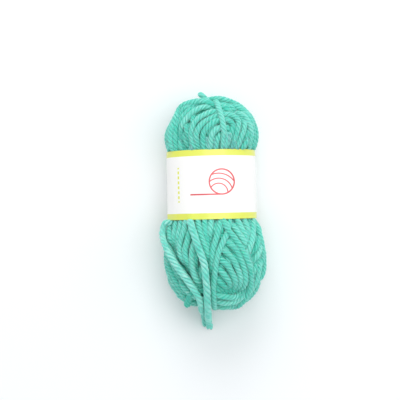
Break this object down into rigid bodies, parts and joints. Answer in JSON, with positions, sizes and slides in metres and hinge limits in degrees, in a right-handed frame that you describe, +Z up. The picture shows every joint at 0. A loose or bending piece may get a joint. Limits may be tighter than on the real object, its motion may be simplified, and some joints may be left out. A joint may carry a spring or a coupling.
{
  "type": "acrylic yarn ball",
  "caption": "Pull-skein ball of plied acrylic yarn, waisted by a plain paper band, lying on its side with loose yarn ends hanging over one end.",
  "frame": {"origin": "on the surface that the ball rests on, under the middle of the wound ball", "axes": "+Y along the ball, away from the loose ends; +Z up"},
  "size_m": [0.0661, 0.1475, 0.0599],
  "materials": {
    "yarn": "soft",
    "band_paper": "glossy"
  },
  "bodies": {
    "root": {"wound_yarn": "yarn", "paper_band": "band_paper", "front_loose_end": "yarn", "side_loose_end": "yarn"}
  },
  "joints": []
}
